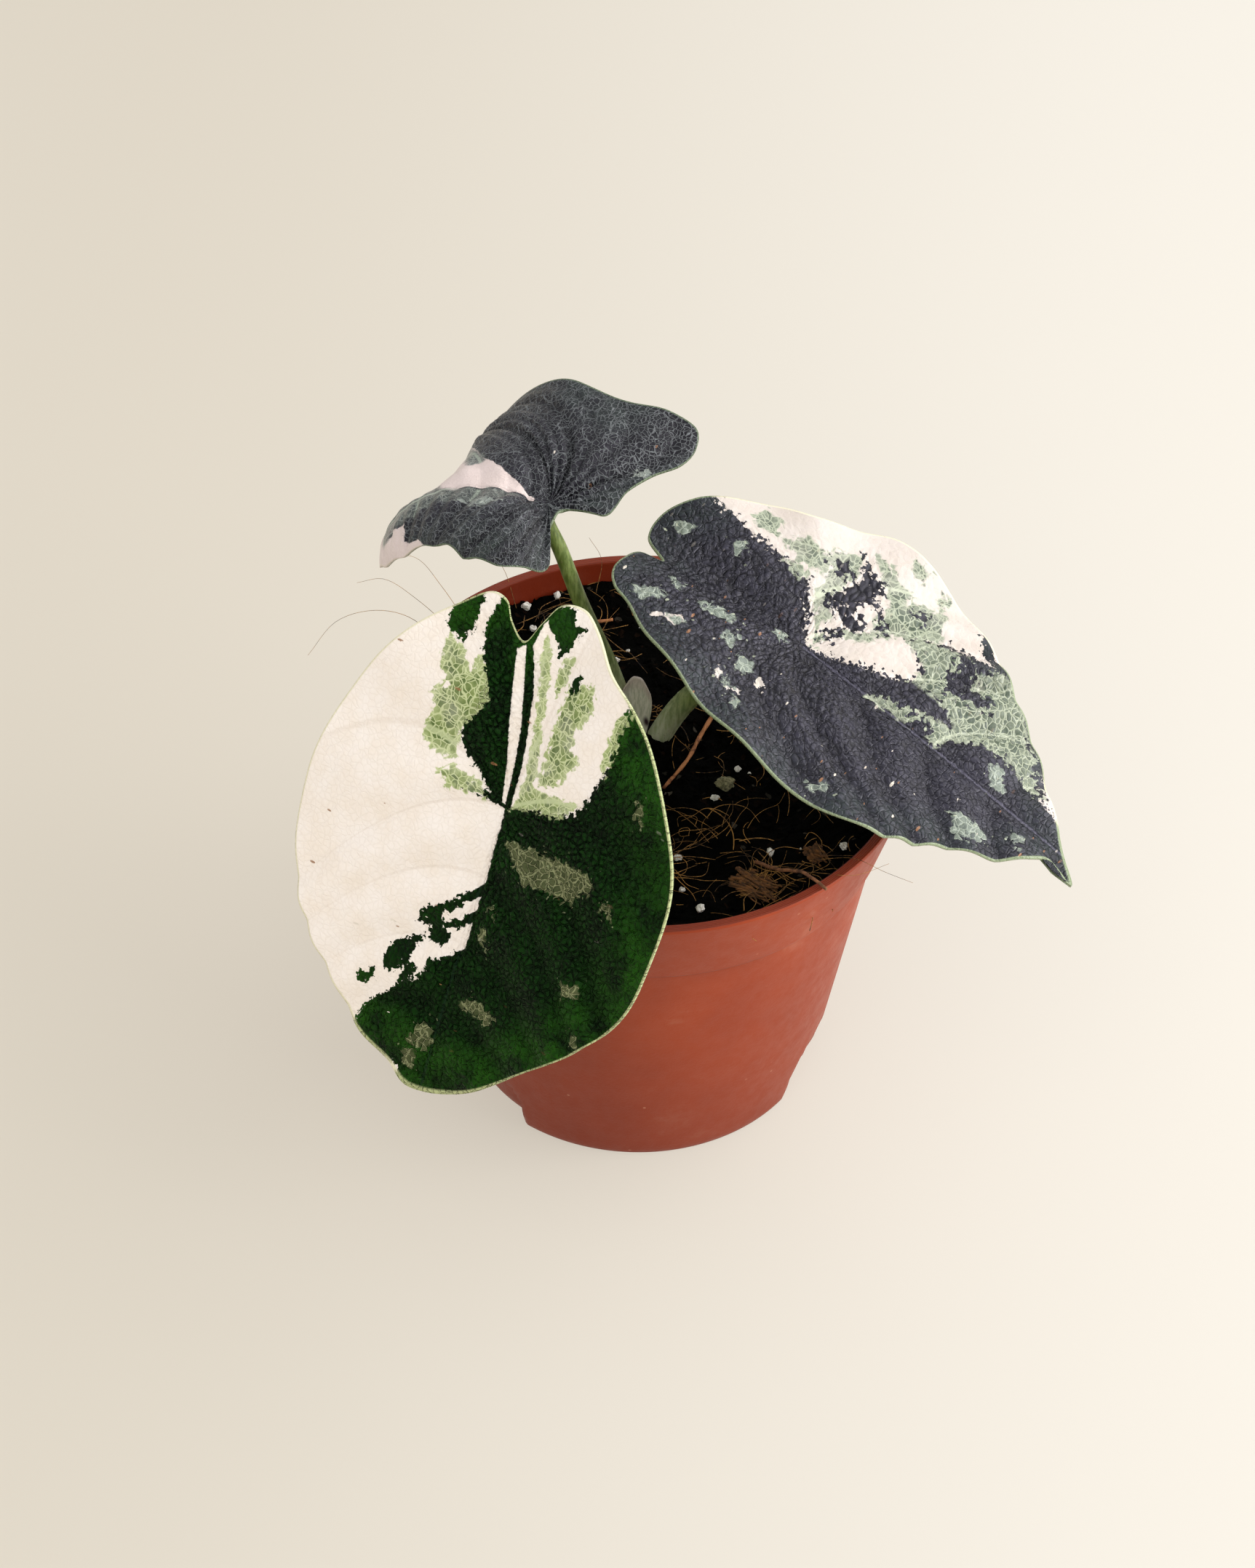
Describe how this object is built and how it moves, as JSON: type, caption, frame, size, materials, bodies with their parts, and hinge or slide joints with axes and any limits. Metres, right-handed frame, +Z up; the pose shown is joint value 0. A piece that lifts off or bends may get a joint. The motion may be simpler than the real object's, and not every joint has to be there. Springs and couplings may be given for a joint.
{
  "type": "potted variegated alocasia melo",
  "caption": "A young variegated alocasia melo with shield-shaped, deeply textured leaves in cream, green and near black, in a terracotta-coloured plastic nursery pot.",
  "frame": {"origin": "the middle of the pot's underside, on the surface that it stands on", "axes": "+Z up along the pot's axis; -Y towards the front, the side that the hanging leaf faces; +X to the right seen from the front"},
  "size_m": [0.1667, 0.1445, 0.1598],
  "materials": {
    "pot_plastic": "satin moulded terracotta red",
    "potting_mix": "matt, near black, damp",
    "stalk_skin": "satin, pale green",
    "blade_cream": "satin, cream and deep green in patches, bullate",
    "blade_dark": "satin, dark blue-green with cream and grey-green patches, bullate",
    "dry_sheath": "matt, papery",
    "root_bark": "matt, brown",
    "perlite": "matt, white",
    "pebble": "matt, greenish grey",
    "bark": "matt, dark brown"
  },
  "bodies": {
    "root": {"pot": "pot_plastic", "soil": "potting_mix", "rhizome": "root_bark", "stalk_a": "stalk_skin", "stalk_b": "stalk_skin", "stalk_c": "stalk_skin", "blade_a": "blade_cream", "blade_b": "blade_dark", "blade_c": "blade_dark", "sheath": "dry_sheath", "surface_root_1": "root_bark", "surface_root_2": "root_bark", "perlite_1": "perlite", "perlite_2": "perlite", "perlite_3": "perlite", "perlite_4": "perlite", "perlite_5": "perlite", "perlite_6": "perlite", "perlite_7": "perlite", "perlite_8": "perlite", "perlite_9": "perlite", "perlite_10": "perlite", "perlite_11": "perlite", "perlite_12": "perlite", "bark_chip_1": "bark", "bark_chip_2": "bark", "bark_chip_3": "bark", "twig": "root_bark", "pebble": "pebble"}
  },
  "joints": []
}
